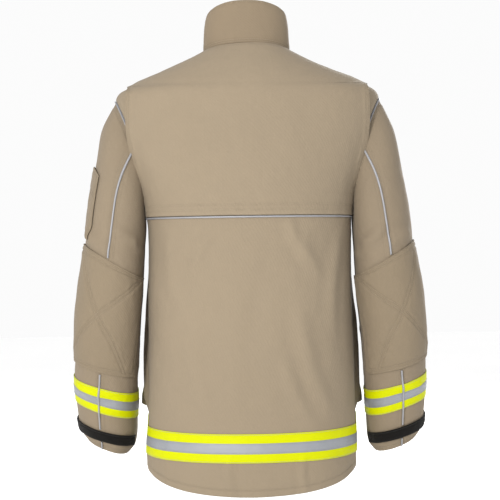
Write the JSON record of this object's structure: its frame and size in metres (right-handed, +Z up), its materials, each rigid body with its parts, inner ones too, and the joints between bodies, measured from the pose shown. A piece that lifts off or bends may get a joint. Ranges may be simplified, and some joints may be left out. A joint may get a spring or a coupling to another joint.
{
  "type": "turnout coat",
  "caption": "Firefighter's turnout coat in tan cloth with stand collar, back yoke, jointed sleeves with padded elbows, zip under a storm flap, flap pockets and reflective trim.",
  "frame": {"origin": "middle of the neck opening at the height of the back collar seam", "axes": "+Z up along the coat, +Y towards its back, +X towards the wearer's left"},
  "size_m": [0.6432, 0.297, 0.8804],
  "materials": {
    "shell_cloth": "matt aramid twill",
    "collar_cloth": "matt aramid twill",
    "patch_cloth": "matt quilted twill",
    "liner_cloth": "quilted lining",
    "knit": "rib knit",
    "piping": "retroreflective piping",
    "reflective_tape": "fluorescent tape with a silver band",
    "hook_and_loop": "hook and loop",
    "webbing": "woven tape",
    "zip_metal": "satin metal"
  },
  "bodies": {
    "torso": {"back_panel": "shell_cloth", "front_panel_left": "shell_cloth", "front_panel_right": "shell_cloth", "back_yoke": "shell_cloth", "yoke_piping": "piping", "armhole_piping_left": "piping", "armhole_piping_right": "piping", "torso_liner": "liner_cloth", "collar_shell": "collar_cloth", "collar_lining": "collar_cloth", "collar_loop_strip": "hook_and_loop", "hang_loop": "webbing", "back_hem_tape": "reflective_tape", "front_hem_tape_left": "reflective_tape", "front_hem_tape_right": "reflective_tape", "zip_tapes": "webbing", "zip_chain": "zip_metal", "zip_stops": "zip_metal", "flap_loop_strip": "hook_and_loop", "lower_pocket_left": "shell_cloth", "lower_pocket_right": "shell_cloth", "radio_pocket": "shell_cloth", "name_panel": "hook_and_loop", "mic_tab": "shell_cloth"},
    "throat_tab": {"throat_tab": "collar_cloth"},
    "slider": {"zip_slider": "zip_metal"},
    "pull": {"zip_pull": "zip_metal"},
    "storm_flap": {"storm_flap": "shell_cloth", "flap_hook_strip": "hook_and_loop", "flap_hem_tape": "reflective_tape"},
    "pocket_flap_left": {"pocket_flap_left": "shell_cloth"},
    "pocket_flap_right": {"pocket_flap_right": "shell_cloth"},
    "radio_flap": {"radio_flap": "shell_cloth"},
    "arm_left": {"sleeve_cap_left": "shell_cloth", "upper_sleeve_left": "shell_cloth", "elbow_section_left": "shell_cloth", "elbow_patch_left": "patch_cloth", "seam_piping_left": "piping", "upper_liner_left": "liner_cloth", "sleeve_pocket": "shell_cloth"},
    "forearm_left": {"forearm_sleeve_left": "shell_cloth", "forearm_piping_left": "piping", "sleeve_tape_left": "reflective_tape", "wristlet_left": "knit", "forearm_liner_left": "liner_cloth"},
    "cuff_strap_left": {"cuff_strap_left": "hook_and_loop"},
    "arm_right": {"sleeve_cap_right": "shell_cloth", "upper_sleeve_right": "shell_cloth", "elbow_section_right": "shell_cloth", "elbow_patch_right": "patch_cloth", "seam_piping_right": "piping", "upper_liner_right": "liner_cloth"},
    "forearm_right": {"forearm_sleeve_right": "shell_cloth", "forearm_piping_right": "piping", "sleeve_tape_right": "reflective_tape", "wristlet_right": "knit", "forearm_liner_right": "liner_cloth"},
    "cuff_strap_right": {"cuff_strap_right": "hook_and_loop"}
  },
  "joints": [
    {"name": "shoulder_left", "type": "hinge", "parent": "torso", "child": "arm_left", "pos_m": [0.205, 0, -0.15], "axis": [0, -1, 0], "range_deg": [0, 45], "deforming": ["sleeve_cap_left", "seam_piping_left"]},
    {"name": "elbow_left", "type": "hinge", "parent": "arm_left", "child": "forearm_left", "pos_m": [0.255, -0.008, -0.492], "axis": [-1, 0, 0], "range_deg": [0, 75], "deforming": ["elbow_section_left", "elbow_patch_left"]},
    {"name": "cuff_strap_left_peel", "type": "hinge", "parent": "forearm_left", "child": "cuff_strap_left", "pos_m": [0.31524, -0.07781, -0.67643], "axis": [-0.1643, -0.2846, -0.9445], "range_deg": [0, 80]},
    {"name": "shoulder_right", "type": "hinge", "parent": "torso", "child": "arm_right", "pos_m": [-0.205, 0, -0.15], "axis": [0, 1, 0], "range_deg": [0, 45], "deforming": ["sleeve_cap_right", "seam_piping_right"]},
    {"name": "elbow_right", "type": "hinge", "parent": "arm_right", "child": "forearm_right", "pos_m": [-0.255, -0.008, -0.492], "axis": [-1, 0, 0], "range_deg": [0, 75], "deforming": ["elbow_section_right", "elbow_patch_right"]},
    {"name": "cuff_strap_right_peel", "type": "hinge", "parent": "forearm_right", "child": "cuff_strap_right", "pos_m": [-0.31524, -0.07781, -0.67643], "axis": [-0.1643, 0.2846, 0.9445], "range_deg": [0, 80]},
    {"name": "zip_slide", "type": "slide", "parent": "torso", "child": "slider", "axis": [0, 0.034, 0.9994], "range_m": [-0.555, 0]},
    {"name": "pull_swing", "type": "hinge", "parent": "slider", "child": "pull", "pos_m": [0, -0.12284, -0.12684], "axis": [-1, 0, 0], "range_deg": [0, 165]},
    {"name": "storm_flap_open", "type": "hinge", "parent": "torso", "child": "storm_flap", "pos_m": [0.042, -0.12971, -0.44379], "axis": [0, 0.034, 0.9994], "range_deg": [0, 110]},
    {"name": "throat_tab_open", "type": "hinge", "parent": "torso", "child": "throat_tab", "pos_m": [0.05046, -0.06597, -0.02747], "axis": [-0.0437, 0.0514, 0.9977], "range_deg": [0, 110]},
    {"name": "pocket_flap_left_lift", "type": "hinge", "parent": "torso", "child": "pocket_flap_left", "pos_m": [0.14467, -0.10274, -0.4837], "axis": [-0.7993, -0.601, 0], "range_deg": [0, 110]},
    {"name": "pocket_flap_right_lift", "type": "hinge", "parent": "torso", "child": "pocket_flap_right", "pos_m": [-0.14467, -0.10274, -0.4837], "axis": [-0.7993, 0.601, 0], "range_deg": [0, 110]},
    {"name": "radio_flap_lift", "type": "hinge", "parent": "torso", "child": "radio_flap", "pos_m": [-0.15916, -0.11871, -0.22983], "axis": [-0.887, 0.4618, 0], "range_deg": [0, 110]}
  ]
}
